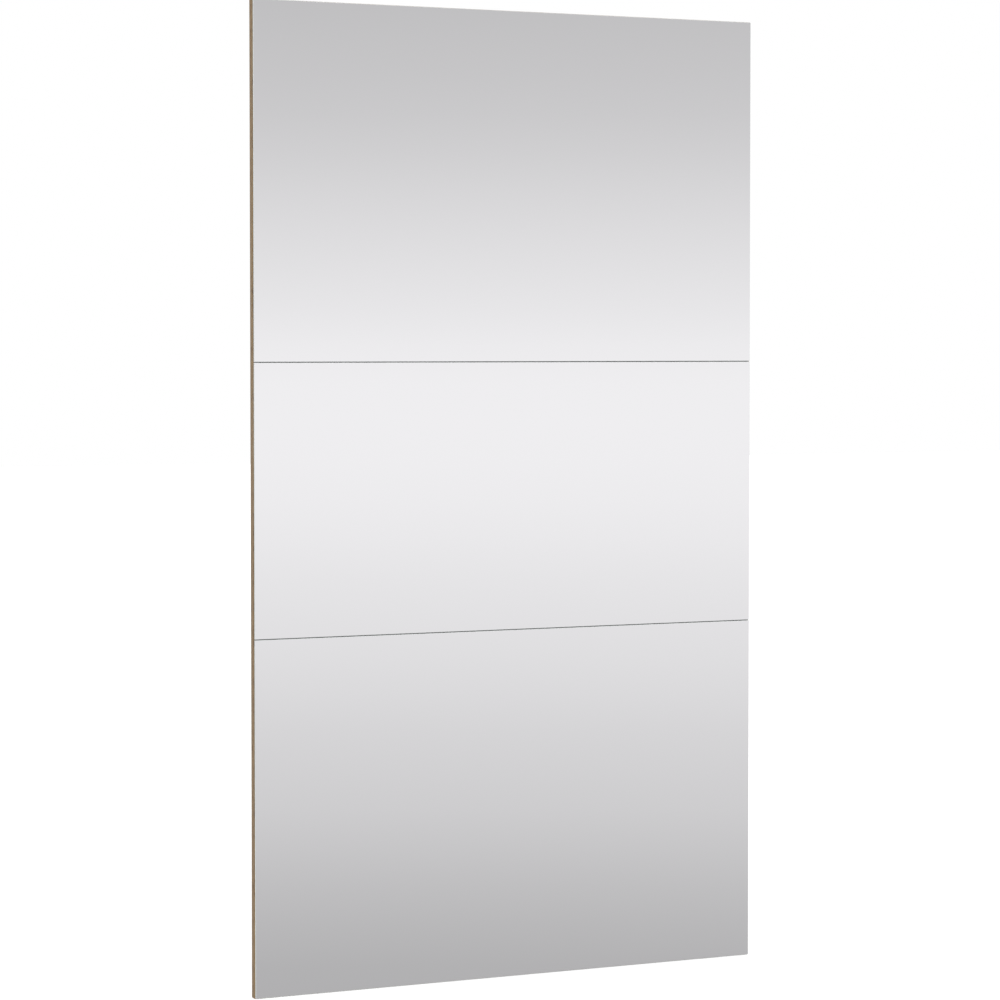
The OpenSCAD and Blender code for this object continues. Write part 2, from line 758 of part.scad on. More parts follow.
module height_screw() {
    r = screw_d / 2;
    groove_low = lug_top + 0.1;
    groove_top = groove_low + clip_t + 0.2;
    head_low = plate_low - screw_head_h;
    color(dark_steel) translate([0, screw_offset, 0]) difference() {
        rotate_extrude() polygon([[0, head_low], [screw_head_r - 0.6, head_low],
            [screw_head_r, head_low + 0.6], [screw_head_r, plate_low], [r, plate_low], [r, groove_low],
            [0.75 * r, groove_low], [0.75 * r, groove_top], [r, groove_top], [r, screw_top - 0.8],
            [r - 0.8, screw_top], [0, screw_top]]);
        translate([0, 0, head_low - 1]) rotate([0, 0, 30])
            cylinder(h = 0.65 * screw_head_h + 1, r = socket_af / sqrt(3), $fn = 6);
    }
}

module screw_clip() {
    color(bearing_steel) translate([0, screw_offset, lug_top + 0.2]) linear_extrude(clip_t)
        clip_ring(screw_d / 2 + 2.2, 0.75 * screw_d / 2 + seat_gap, 0.7 * screw_d);
}

// Lift catch: engaged, it reaches back under the rail, and a pad under its tip takes the finger
module lift_catch() {
    color(catch_grey) translate([catch_side, catch_pivot_y, 0]) difference() {
        union() {
            translate([0, 0, catch_low]) linear_extrude(catch_t)
                taper_bar(catch_hub_r, catch_tip_r, catch_reach);
            translate([0, catch_reach, catch_low - 3]) linear_extrude(3.5) round_rect(5, 3, 1);
        }
        translate([0, 0, catch_low - 1]) cylinder(h = catch_t + 2, r = catch_rivet_d / 2 + running_gap);
    }
}

module catch_rivet() {
    r = catch_rivet_d / 2;
    top = catch_top + 0.1;
    color(zinc) translate([catch_side, catch_pivot_y, 0]) rotate_extrude() polygon([
        [0, catch_lug_low - 1], [r + 0.6, catch_lug_low - 1], [r + 1.2, catch_lug_low - 0.4],
        [r + 1.2, catch_lug_low], [r, catch_lug_low], [r, top], [r + 1.4, top],
        [r + 1.4, top + 0.5], [r + 0.7, top + 1], [0, top + 1]]);
}

// Floor guide

module guide_bracket() {
    lug_back = guide_offset + bracket_lug_r;
    low_mid = lower_lug_low + bracket_t / 2;
    top_mid = upper_lug_top - bracket_t / 2;
    color(zinc) difference() {
        union() {
            intersection() {
                along_x(2 * bracket_lug_r) polygon(sheet_outline([[lug_back, low_mid],
                    [bracket_t / 2, low_mid], [bracket_t / 2, top_mid], [lug_back, top_mid]],
                    bracket_t, bend_r));
                translate([0, 0, lower_lug_low]) linear_extrude(upper_lug_top - lower_lug_low) {
                    translate([-bracket_lug_r, 0]) square([2 * bracket_lug_r, guide_offset]);
                    translate([0, guide_offset]) circle(bracket_lug_r);
                }
            }
            along_y(0, bracket_t) translate([0, bracket_mid])
                round_rect(2 * bracket_wing_half, bracket_wing_h, 5);
            translate([0, bracket_t, lower_lug_top]) bend_dart(dart_leg, 0.2 * bracket_t);
            translate([0, bracket_t, upper_lug_low]) mirror([0, 0, 1]) bend_dart(dart_leg, 0.2 * bracket_t);
        }
        translate([0, guide_offset, lower_lug_low - 1])
            cylinder(h = upper_lug_top - lower_lug_low + 2, r = pin_d / 2 + running_gap);
        for (p = bracket_holes) {
            translate([p[0], 0, p[1]]) rod_y(-1, bracket_t + 1, wood_screw_d / 2 + 0.4);
        }
    }
}

module guide_pin() {
    r = pin_d / 2;
    neck_r = 0.8 * r;
    low = guide_low + 2.5;
    top = knob_low + knob_h - 3;
    neck_top = guide_clip_low + guide_clip_t + 0.1;
    color(dark_steel) translate([0, guide_offset, 0]) rotate_extrude() polygon([[0, low],
        [r - 0.5, low], [r, low + 0.5], [r, guide_clip_low - 0.1], [neck_r, guide_clip_low - 0.1],
        [neck_r, neck_top], [r, neck_top], [r, top - 0.5], [r - 0.5, top], [0, top]]);
}

module guide_sleeve() {
    r = sleeve_d / 2;
    bore_r = pin_d / 2 + seat_gap;
    top = guide_low + sleeve_l;
    color(tyre_white) translate([0, guide_offset, 0]) rotate_extrude() polygon([[0, guide_low],
        [r - 1.5, guide_low], [r, guide_low + 1.5], [r, top - 0.3], [r - 0.3, top], [bore_r, top],
        [bore_r, guide_low + 2.5], [0, guide_low + 2.5]]);
}

module guide_clip() {
    color(bearing_steel) translate([0, guide_offset, guide_clip_low]) linear_extrude(guide_clip_t)
        clip_ring(spring_d / 2 + 1.4, 0.8 * pin_d / 2 + seat_gap, 0.7 * pin_d);
}

// Ring of points round the wire at one step of the helix
function wire_ring(i) = let(a = 360 * i / spring_steps, c = spring_points[i])
    [for (k = [0:wire_sides - 1]) let(b = 360 * k / wire_sides)
        [c[0] + wire_d / 2 * cos(b) * cos(a), c[1] + wire_d / 2 * cos(b) * sin(a),
            c[2] + wire_d / 2 * sin(b)]];

module guide_spring() {
    rings = len(spring_points);
    last = (rings - 1) * wire_sides;
    points = [for (i = [0:rings - 1]) each wire_ring(i)];
    walls = [for (i = [0:rings - 2]) for (k = [0:wire_sides - 1])
        let(a = i * wire_sides + k, b = i * wire_sides + (k + 1) % wire_sides)
        each [[a, b, a + wire_sides], [b, b + wire_sides, a + wire_sides]]];
    ends = [for (k = [1:wire_sides - 2]) each [[0, k + 1, k], [last, last + k, last + k + 1]]];
    color(bearing_steel) translate([0, guide_offset, spring_low + wire_d / 2])
        polyhedron(points, concat(walls, ends));
}

// Knob pressed on the pin's upper end, with a grip groove, a domed top and scallops for the fingers
module guide_knob() {
    r = knob_d / 2;
    bore_r = pin_d / 2 + seat_gap;
    top = knob_low + knob_h;
    color(black_plastic) translate([0, guide_offset, 0]) difference() {
        rotate_extrude() difference() {
            polygon([[bore_r, knob_low], [0.7 * r, knob_low], [0.7 * r, knob_low + knob_skirt],
                [r - 0.8, knob_low + knob_skirt + 1], [r, knob_low + knob_skirt + 2], [r, top - 3],
                [0.94 * r, top - 1.4], [0.8 * r, top - 0.5], [0.55 * r, top], [0, top], [0, top - 3],
                [bore_r, top - 3]]);
            translate([r + 0.6, knob_low + knob_skirt + 0.35 * knob_h]) circle(1.4);
        }
        for (i = [0:knob_scallops - 1]) {
            rotate([0, 0, 360 * i / knob_scallops]) translate([r + scallop_r - scallop_depth, 0, knob_low])
                cylinder(h = knob_h + 1, r = scallop_r);
        }
    }
}

carrier_board();
edge_band_left();
edge_band_right();
edge_band_top();
edge_band_bottom();
for (i = [0:2]) {
    mirror_pane(i);
    safety_film(i);
    mirror_tape(i);
    mirror_adhesive(i);
}
for (side = SIDES) {
    at_side(side, carriage_inset) {
        hanger_plate();
        wood_screws(hanger_holes, plate_t);
        carriage_frame();
        wheel_axles();
        bearing_inner_rings();
        height_nut();
        height_screw();
        screw_clip();
        lift_catch();
        catch_rivet();
        for (p = [0, 1]) {
            translate([(p == 0 ? 1 : -1) * wheel_pitch / 2, 0, axle_z]) {
                wheel_tyre();
                wheel_bearing();
            }
        }
    }
    at_side(side, guide_inset) {
        guide_bracket();
        wood_screws(bracket_holes, bracket_t);
        guide_pin();
        guide_sleeve();
        guide_clip();
        guide_spring();
        guide_knob();
    }
}
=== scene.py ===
"""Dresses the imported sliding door: finishes for all its pieces, threaded screws, wound springs and scalloped
knobs in place of the plain ones, and a studio."""

import math
import random

import bmesh
import bpy
from bpy.props import FloatProperty, FloatVectorProperty, IntProperty, PointerProperty
from mathutils import Matrix, Vector


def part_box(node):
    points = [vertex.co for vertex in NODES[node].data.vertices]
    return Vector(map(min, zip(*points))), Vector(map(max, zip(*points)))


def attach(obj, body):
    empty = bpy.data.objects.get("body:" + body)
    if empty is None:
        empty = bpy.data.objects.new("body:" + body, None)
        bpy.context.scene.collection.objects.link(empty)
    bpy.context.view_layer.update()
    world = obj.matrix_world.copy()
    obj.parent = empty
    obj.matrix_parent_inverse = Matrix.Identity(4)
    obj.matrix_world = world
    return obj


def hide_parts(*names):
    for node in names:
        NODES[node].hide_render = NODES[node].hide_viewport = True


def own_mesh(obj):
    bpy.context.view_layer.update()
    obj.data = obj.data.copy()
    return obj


bl_info = {
    "name": "Mirrored Sliding Door",
    "version": (1, 0, 0),
    "blender": (4, 5, 0),
    "location": "3D View > Sidebar > Sliding Door",
    "description": "Finishes, fittings and studio for a wardrobe door leaf with three mirror panes",
    "category": "Object",
}

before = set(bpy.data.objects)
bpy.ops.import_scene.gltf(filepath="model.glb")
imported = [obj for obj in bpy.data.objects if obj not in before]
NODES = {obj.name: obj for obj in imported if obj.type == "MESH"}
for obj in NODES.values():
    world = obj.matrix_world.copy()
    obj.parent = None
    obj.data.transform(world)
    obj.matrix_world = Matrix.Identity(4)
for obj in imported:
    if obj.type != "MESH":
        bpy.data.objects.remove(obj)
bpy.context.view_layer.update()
SIDES = ("left", "right")
PLACES = ("outer", "inner")
PANES = ("bottom", "middle", "top")
MM = 0.001
# Points closer together than this are one
WELD = 0.001 * MM
# Faces thinner than this are left over from a cut
SLIVER = 0.01 * MM
# A face is square to an axis where its normal's share along that axis is past this
SQUARE = 0.99
WHITE = (1, 1, 1, 1)


def linear(colour):
    """The linear colour, with full alpha, of an sRGB hex value such as #a4845f."""
    values = [int(colour[i : i + 2], 16) / 255 for i in (1, 3, 5)]
    return tuple(v / 12.92 if v <= 0.04045 else ((v + 0.055) / 1.055) ** 2.4 for v in values) + (1.0,)


def colour_property(name, description, colour):
    """A colour setting whose default is an sRGB hex value."""
    return FloatVectorProperty(
        name=name, description=description, subtype="COLOR", size=4, min=0, max=1, default=linear(colour)
    )


def length_property(name, description, millimetres):
    """A length setting whose default is given in millimetres."""
    return FloatProperty(
        name=name, description=description, unit="LENGTH", precision=5, min=0, default=millimetres * MM
    )


class OakSettings(bpy.types.PropertyGroup):
    """Colours and figure of the oak decor on the leaf's rear face and edge bands."""

    ground: colour_property("Ground", "Colour of the early wood", "#9b8059")
    growth: colour_property("Growth lines", "Colour of the late wood", "#7f6240")
    pore: colour_property("Pores", "Colour of the open pores", "#54412c")
    fleck: colour_property("Flecks", "Colour of the dark flecks on the edge bands", "#5c3f1f")
    liner: colour_property("Liner", "Plain paper on the board's face behind the mirrors", "#b0b0b3")
    plank: length_property("Plank width", "Mean width of one printed plank", 208)
    ring: length_property("Growth line spacing", "Distance between growth lines where they run closest", 7)
    pore_depth: length_property("Pore depth", "Depth that the pores are pressed to", 0.08)


class MirrorSettings(bpy.types.PropertyGroup):
    """Look of the silvered panes and of what holds them."""

    silver: colour_property("Silver", "What the silvered glass reflects", "#efeef0")
    ground_edge: colour_property("Ground edge", "Colour of the ground glass edges", "#cbcfcd")
    backing: colour_property("Backing paint", "Colour of the paint behind the silver", "#6d7476")
    film: colour_property("Safety film", "Colour of the woven film", "#b9bec0")
    tape: colour_property("Foam tape", "Colour of the mounting tape", "#dcdcd6")
    adhesive: colour_property("Adhesive", "Colour of the mirror adhesive", "#b3b0a6")


class MetalSettings(bpy.types.PropertyGroup):
    """Colours of the plated, turned and hardened steel."""

    zinc: colour_property("Zinc", "Bright zinc plating on pressed sheet", "#d3d6d8")
    stain: colour_property("Zinc stain", "Where the plating passivated thicker", "#c2c0b6")
    turned: colour_property("Turned steel", "Bare turned steel", "#a4a7aa")
    hardened: colour_property("Hardened steel", "Ground bearing rings", "#c9ccce")
    spring: colour_property("Spring steel", "Drawn wire and hardened clips", "#7d8287")


class PlasticSettings(bpy.types.PropertyGroup):
    """Colours of the moulded pieces."""

    acetal: colour_property("Acetal", "Natural acetal of the wheels and sleeves", "#dedbd0")
    nylon: colour_property("Nylon", "Glass-filled nylon of the lift catches", "#55585b")
    knob: colour_property("Knob", "Black moulded knobs", "#232527")


class FittingSettings(bpy.types.PropertyGroup):
    """Detail of the fasteners, springs and knobs."""

    wood_pitch: length_property("Wood screw pitch", "Pitch of the wood screws' thread", 1.8)
    wood_thread: length_property("Wood screw thread", "Height of the wood screws' thread", 0.5)
    machine_pitch: length_property("Machine pitch", "Pitch of the height screws' thread", 1)
    machine_thread: length_property("Machine thread", "Height of the height screws' thread", 0.55)
    curls: IntProperty(name="Spring curls", description="Curls of a guide spring", default=8, min=4)
    wire: length_property("Spring wire", "Diameter of the guide springs' wire", 1)
    scallops: IntProperty(name="Knob scallops", description="Scallops round a knob", default=12, min=6)
    scallop_r: length_property("Scallop radius", "Radius that the scallops are hollowed to", 2)
    scallop_depth: length_property("Scallop depth", "How deep the scallops go into a knob", 0.9)


class StageSettings(bpy.types.PropertyGroup):
    """Floor, light and camera."""

    floor: colour_property("Floor", "Colour of the floor", "#eaeaea")
    floor_size: FloatProperty(name="Floor size", description="Side of the floor", unit="LENGTH", default=60)
    daylight: FloatProperty(name="Daylight", description="Even light from all round", default=0.62, min=0)
    key: FloatProperty(name="Key light", description="Light from the front", default=1.5, min=0)
    fill: FloatProperty(name="Fill light", description="Light from behind", default=1.1, min=0)
    softness: FloatProperty(
        name="Softness", description="Spread of both lights", subtype="ANGLE", default=math.radians(40)
    )
    lens: FloatProperty(name="Lens", description="Focal length in millimetres", default=112.8, min=10)
    place: FloatVectorProperty(
        name="Camera place",
        description="Where the camera stands",
        unit="LENGTH",
        default=(-2.985, -6.556, 1.454),
    )
    bearing: FloatProperty(
        name="Bearing",
        description="Turn of the view about the vertical",
        subtype="ANGLE",
        default=math.radians(-24.33),
    )
    tilt: FloatProperty(
        name="Tilt", description="How far the view looks down", subtype="ANGLE", default=math.radians(2)
    )
    rise: FloatProperty(
        name="Rise", description="Shift of the lens, which keeps uprights nearly parallel", default=-0.0445
    )


def add(tree, kind, *values, sockets=None, stops=(), **settings):
    """Adds a shader node with its own settings. values go to its inputs in use, in their order, and sockets
    to inputs by name. Each is a number, a colour, an output, or a node, which stands for its first output in
    use. stops are the places and colours of a colour ramp."""
    node = tree.nodes.new("ShaderNode" + kind)
    for field, value in settings.items():
        setattr(node, field, value)
    fed = list(zip([socket for socket in node.inputs if socket.enabled], values))
    fed += [(node.inputs[name], value) for name, value in (sockets or {}).items()]
    for socket, value in fed:
        if isinstance(value, bpy.types.Node):
            value = next(output for output in value.outputs if output.enabled)
        if isinstance(value, bpy.types.NodeSocket):
            tree.links.new(value, socket)
        else:
            socket.default_value = value
    for i, (place, colour) in enumerate(stops):
        elements = node.color_ramp.elements
        element = elements[i] if i < 2 else elements.new(place)
        element.position = place
        element.color = colour
    return node


def new_material(name, diffuse):
    """An empty node material with the colour that a solid view gives it, and its position in the object."""
    material = bpy.data.materials.new(name)
    material.use_nodes = True
    material.diffuse_color = diffuse
    tree = material.node_tree
    tree.nodes.clear()
    return material, tree, add(tree, "TexCoord").outputs["Object"]


def grain(tree, position, size, detail=3.0, roughness=0.5):
    """A random pattern whose features are size millimetres long along X, Y and Z."""
    scale = tuple(1 / (length * MM) for length in size)
    stretched = add(tree, "Mapping", sockets={"Vector": position, "Scale": scale})
    return add(tree, "TexNoise", stretched, 1.0, detail, roughness)


def facing(tree):
    """How squarely a face looks at the back of the door: 1 there, and -1 at the front."""
    return add(tree, "SeparateXYZ", add(tree, "TexCoord").outputs["Normal"]).outputs["Y"]


def surface(tree, colour, roughness, relief, depth, **sockets):
    """The finish of a material: its colour and gloss, and a relief of depth metres."""
    bump = add(tree, "Bump", sockets={"Height": relief, "Distance": depth})
    inputs = {"Base Color": colour, "Roughness": roughness, "Normal": bump}
    inputs.update({name.replace("_", " "): value for name, value in sockets.items()})
    add(tree, "OutputMaterial", add(tree, "BsdfPrincipled", sockets=inputs))


def oak_decor(name, turn, oak, board=False):
    """Melamine paper printed with flat-sawn oak: matt, in planks of differing tone, with arched growth lines
    and short dark pores pressed a little way in. Its growth lines are drawn twice as far apart as in real
    oak, so that they show. The bands have dark flecks as well, and the board has plain grey paper in front,
    which only the joints between the mirrors let show. turn is how far the grain is turned about Y from
    upright."""
    material, tree, position = new_material(name, oak.ground)
    turned_place = add(tree, "Mapping", sockets={"Vector": position, "Rotation": (0, turn, 0)})
    axes = add(tree, "SeparateXYZ", turned_place)
    across = add(tree, "Math", axes.outputs["X"], axes.outputs["Y"], operation="ADD")

    # Planks of uneven width: the place across is shifted by up to 220 mm, which changes over 320 mm
    uneven = add(tree, "TexNoise", across, 3.1, 0.0, noise_dimensions="1D")
    shifted = add(tree, "Math", uneven, 220 * MM, across, operation="MULTIPLY_ADD")
    plank_place = add(tree, "Math", shifted, oak.plank, operation="DIVIDE")
    plank = add(tree, "Math", plank_place, operation="FLOOR")
    chance = add(tree, "TexWhiteNoise", plank, noise_dimensions="1D")

    # How far beside the heart of its tree a point lies. The heart is in the middle 70% of its plank, and the
    # growth lines sway by up to 30 mm each way
    heart = add(tree, "Math", chance, 0.7, 0.15, operation="MULTIPLY_ADD")
    in_plank = add(tree, "Math", plank_place, operation="FRACT")
    off_heart = add(tree, "Math", in_plank, heart, operation="SUBTRACT")
    wander = add(tree, "Math", grain(tree, turned_place, (110, 110, 600), 2.0), 0.5, operation="SUBTRACT")
    sway = add(tree, "Math", wander, 60 * MM, operation="MULTIPLY")
    beside = add(tree, "Math", off_heart, oak.plank, sway, operation="MULTIPLY_ADD")

    # Growth rings cut by the face: the trunk tapers by 28 mm a metre, which draws the arches, and each plank
    # is from another height of its tree, up to 3.7 m up
    start = add(tree, "Math", chance, 3.7, axes.outputs["Z"], operation="MULTIPLY_ADD")
    below = add(tree, "Math", start, 0.028, sway, operation="MULTIPLY_ADD")
    squares = [add(tree, "Math", leg, leg, operation="MULTIPLY") for leg in (beside, below)]
    radius = add(tree, "Math", add(tree, "Math", *squares, operation="ADD"), operation="SQRT")
    ring = add(tree, "Math", add(tree, "Math", radius, oak.ring, operation="DIVIDE"), operation="FRACT")
    early, mid = linear("#303030"), linear("#4c4c4c")
    late_wood = add(tree, "ValToRGB", ring, stops=[(0.0, early), (0.5, mid), (0.86, WHITE), (1.0, early)])
    tone = add(tree, "MapRange", grain(tree, turned_place, (80, 80, 900), 2.0), 0.3, 0.7, 0.35, 1.0)
    growth = add(tree, "Math", late_wood, tone, operation="MULTIPLY")
    wood = add(tree, "Mix", growth, oak.ground, oak.growth, data_type="RGBA")

    # Fibres, and pores that are densest in the late wood
    fibre_grain = grain(tree, turned_place, (1.8, 1.8, 110), 4.0, 0.6)
    fibre = add(tree, "MapRange", fibre_grain, 0.35, 0.75, 0.0, 0.5)
    wood = add(tree, "Mix", fibre, wood, oak.growth, data_type="RGBA")
    pores = add(tree, "MapRange", grain(tree, turned_place, (0.9, 0.9, 18), 1.0), 0.60, 0.70, 0.0, 1.0)
    pore_share = add(tree, "Math", late_wood, 0.5, 0.35, operation="MULTIPLY_ADD")
    pore_tone = add(tree, "Math", pores, pore_share, operation="MULTIPLY")
    wood = add(tree, "Mix", pore_tone, wood, oak.pore, data_type="RGBA")
    plank_tone = add(tree, "MapRange", chance, 0.0, 1.0, 0.9, 1.07)
    wood = add(tree, "Mix", 1.0, wood, plank_tone, data_type="RGBA", blend_type="MULTIPLY")
    gloss = add(tree, "MapRange", pores, 0.0, 1.0, 0.46, 0.62)
    skin = add(tree, "Math", 1.0, pores, operation="SUBTRACT")

    if board:
        front = add(tree, "Math", facing(tree), -SQUARE, operation="LESS_THAN")
        wood = add(tree, "Mix", front, wood, oak.liner, data_type="RGBA")
        skin = add(tree, "Math", skin, front, operation="MAXIMUM")
    else:
        fleck_grain = grain(tree, turned_place, (5, 5, 26), 4.0, 0.65)
        fleck = add(tree, "MapRange", fleck_grain, 0.54, 0.64, 0.0, 0.9)
        wood = add(tree, "Mix", fleck, wood, oak.fleck, data_type="RGBA")
    surface(tree, wood, gloss, skin, oak.pore_depth)
    return material


def silvered_glass(mirror):
    """4 mm float glass silvered behind: a clean sharp reflection, pale ground edges that scatter the light,
    and grey protective paint with a fine grain on the back."""
    material, tree, position = new_material("silvered_float_glass", mirror.silver)
    rearward = facing(tree)
    front = add(tree, "Math", rearward, -SQUARE, operation="LESS_THAN")
    back = add(tree, "Math", rearward, SQUARE, operation="GREATER_THAN")
    stone = grain(tree, position, (0.5, 0.5, 0.5), 2.0)
    edge = add(tree, "Mix", stone, mirror.ground_edge, linear("#dcdfde"), data_type="RGBA")
    colour = add(tree, "Mix", back, edge, mirror.backing, data_type="RGBA")
    colour = add(tree, "Mix", front, colour, mirror.silver, data_type="RGBA")
    matt = add(tree, "Math", 1.0, front, operation="SUBTRACT")
    rough = add(tree, "Math", matt, 0.45, operation="MULTIPLY")
    relief = add(tree, "Math", stone, matt, operation="MULTIPLY")
    surface(tree, colour, rough, relief, 0.02 * MM, Metallic=front)
    return material


def woven_film(mirror):
    """Polythene safety film over a fine weave: pale, a little glossy, with crossing threads 1.5 mm apart."""
    material, tree, position = new_material("woven_safety_film", mirror.film)
    thread_gap = 1.5 * MM
    # A band of the wave pattern is a twentieth of a unit wide at scale 1
    scale = 1 / (20 * thread_gap)
    warp = add(tree, "TexWave", position, scale, 0.4, bands_direction="X")
    weft = add(tree, "TexWave", position, scale, 0.4, bands_direction="Z")
    weave = add(tree, "Math", warp.outputs["Fac"], weft.outputs["Fac"], operation="MAXIMUM")
    colour = add(tree, "Mix", weave, mirror.film, linear("#d3d7d8"), data_type="RGBA")
    surface(tree, colour, 0.35, weave, 0.05 * MM)
    return material


def foam_tape(mirror):
    """Closed-cell polythene foam: chalky white, with cells of about 0.3 mm cut open at the edges."""
    material, tree, position = new_material("closed_cell_foam_tape", mirror.tape)
    cells = add(tree, "TexVoronoi", position, 1 / (0.3 * MM))
    shade = add(tree, "MapRange", cells, 0.2, 0.8, 0.0, 1.0)
    colour = add(tree, "Mix", shade, mirror.tape, linear("#b9b9b2"), data_type="RGBA")
    surface(tree, colour, 0.85, cells, 0.08 * MM)
    return material


def cured_adhesive(mirror):
    """Neutral-cure mirror adhesive: rubbery, beige-grey, a little glossy, uneven where it was pressed."""
    material, tree, position = new_material("cured_mirror_adhesive", mirror.adhesive)
    smear = grain(tree, position, (5, 5, 40))
    colour = add(tree, "Mix", smear, mirror.adhesive, linear("#c4c1b6"), data_type="RGBA")
    gloss = add(tree, "MapRange", smear, 0.3, 0.7, 0.38, 0.55)
    surface(tree, colour, gloss, smear, 0.2 * MM)
    return material


def zinc_plated_sheet(metal):
    """Cold-rolled steel sheet, pressed and then bright zinc plated: silvery with a faint blue cast, cloudy
    where the passivation is thicker, with fine rolling lines and a soft sheen."""
    material, tree, position = new_material("bright_zinc_plated_sheet", metal.zinc)
    cloud = grain(tree, position, (14, 14, 22), 4.0, 0.6)
    rolling = grain(tree, position, (24, 24, 0.35), 2.0)
    stain = add(tree, "MapRange", cloud, 0.4, 0.75, 0.0, 0.75)
    colour = add(tree, "Mix", stain, metal.zinc, metal.stain, data_type="RGBA")
    gloss = add(tree, "MapRange", cloud, 0.3, 0.7, 0.26, 0.36)
    surface(tree, colour, gloss, rolling, 0.004 * MM, Metallic=1.0)
    return material


def turned_steel(name, colour, feed_axis, metal):
    """Steel turned on a lathe: bright, with fine rings round its axis. They are drawn 0.2 mm apart, a little
    coarser than the tool leaves them, so that they show."""
    material, tree, position = new_material(name, colour)
    rings = grain(tree, position, tuple(0.2 if axis == feed_axis else 60 for axis in "XYZ"), 1.0)
    cloud = grain(tree, position, (6, 6, 6))
    shade = add(tree, "MapRange", cloud, 0.35, 0.75, 0.0, 0.5)
    colour = add(tree, "Mix", shade, colour, metal.spring, data_type="RGBA")
    gloss = add(tree, "MapRange", rings, 0.3, 0.7, 0.2, 0.3)
    surface(tree, colour, gloss, rings, 0.006 * MM, Metallic=1.0)
    return material


def ground_steel(metal):
    """Hardened bearing steel, ground and polished: the brightest metal, with a hair-fine grind."""
    material, tree, position = new_material("ground_bearing_steel", metal.hardened)
    grind = grain(tree, position, (3, 0.15, 3), 2.0)
    colour = add(tree, "Mix", grind, metal.hardened, linear("#b7babd"), data_type="RGBA")
    gloss = add(tree, "MapRange", grind, 0.3, 0.7, 0.12, 0.2)
    surface(tree, colour, gloss, grind, 0.003 * MM, Metallic=1.0)
    return material


def drawn_spring_steel(metal):
    """Patented spring wire and hardened clips: dark steel with an oily sheen and faint drawing marks."""
    material, tree, position = new_material("drawn_spring_steel", metal.spring)
    marks = grain(tree, position, (1.2, 1.2, 1.2), 4.0, 0.65)
    colour = add(tree, "Mix", marks, metal.spring, linear("#9b9fa3"), data_type="RGBA")
    gloss = add(tree, "MapRange", marks, 0.3, 0.75, 0.22, 0.36)
    surface(tree, colour, gloss, marks, 0.01 * MM, Metallic=1.0)
    return material


def moulded_acetal(plastic):
    """Natural acetal, injection moulded: waxy off-white that lets a little light in, with a satin skin."""
    material, tree, position = new_material("moulded_natural_acetal", plastic.acetal)
    flow = grain(tree, position, (8, 8, 8))
    skin = grain(tree, position, (0.35, 0.35, 0.35), 1.0)
    colour = add(tree, "Mix", flow, plastic.acetal, linear("#d3cfc1"), data_type="RGBA")
    gloss = add(tree, "MapRange", skin, 0.3, 0.7, 0.3, 0.4)
    surface(
        tree,
        colour,
        gloss,
        skin,
        0.006 * MM,
        IOR=1.48,
        Subsurface_Weight=0.15,
        Subsurface_Radius=(0.6, 0.55, 0.45),
        Subsurface_Scale=MM,
    )
    return material


def glass_filled_nylon(plastic):
    """Glass-filled nylon: dark grey and matt, with the faint cloud of the fibres at its skin."""
    material, tree, position = new_material("glass_filled_nylon", plastic.nylon)
    fibres = grain(tree, position, (0.4, 0.4, 1.6), 3.0, 0.6)
    shade = add(tree, "MapRange", fibres, 0.45, 0.8, 0.0, 1.0)
    colour = add(tree, "Mix", shade, plastic.nylon, linear("#6f7376"), data_type="RGBA")
    gloss = add(tree, "MapRange", fibres, 0.3, 0.7, 0.5, 0.62)
    surface(tree, colour, gloss, fibres, 0.015 * MM, IOR=1.53)
    return material


def moulded_black(plastic):
    """Black ABS from a spark-eroded mould: a fine even texture, a little polished where fingers turn it."""
    material, tree, position = new_material("spark_textured_black_abs", plastic.knob)
    texture = grain(tree, position, (0.25, 0.25, 0.25), 2.0)
    wear = add(tree, "MapRange", grain(tree, position, (7, 7, 4), 2.0), 0.5, 0.8, 0.0, 1.0)
    colour = add(tree, "Mix", wear, plastic.knob, linear("#2e3134"), data_type="RGBA")
    gloss = add(tree, "MapRange", wear, 0.0, 1.0, 0.5, 0.34)
    surface(tree, colour, gloss, texture, 0.02 * MM, IOR=1.54)
    return material


def dress(material, *names):
    """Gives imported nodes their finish."""
    for name in names:
        for slot in NODES[name].material_slots:
            slot.material = material


def solo(obj):
    """Selects obj alone and makes it active."""
    bpy.ops.object.select_all(action="DESELECT")
    obj.select_set(True)
    bpy.context.view_layer.objects.active = obj


def start_with(primitive, **settings):
    """Adds a mesh primitive with nothing else selected."""
    bpy.ops.object.select_all(action="DESELECT")
    primitive(**settings)
    return bpy.context.object


def named(obj, name):
    obj.name = name
    obj.data.name = name
    return obj


def remove(obj):
    solo(obj)
    bpy.ops.object.delete()


def modified(obj, kind, **settings):
    """Adds a modifier with its settings to obj and applies it."""
    solo(obj)
    bpy.ops.object.modifier_add(type=kind)
    modifier = obj.modifiers[-1]
    for field, value in settings.items():
        setattr(modifier, field, value)
    bpy.ops.object.modifier_apply(modifier=modifier.name)


def cut(obj, cutter):
    """Cuts the cutter out of obj, deletes it and clears away the slivers that the cut leaves."""
    modified(obj, "BOOLEAN", operation="DIFFERENCE", solver="EXACT", object=cutter)
    remove(cutter)
    face_outwards(obj)


def pick_faces(obj, wanted):
    """Opens obj in edit mode with only the faces selected that wanted accepts."""
    solo(obj)
    bpy.ops.object.mode_set(mode="EDIT")
    bpy.ops.mesh.select_mode(type="FACE")
    bpy.ops.mesh.select_all(action="DESELECT")
    mesh = bmesh.from_edit_mesh(obj.data)
    for face in mesh.faces:
        face.select_set(wanted(face))
    bmesh.update_edit_mesh(obj.data)


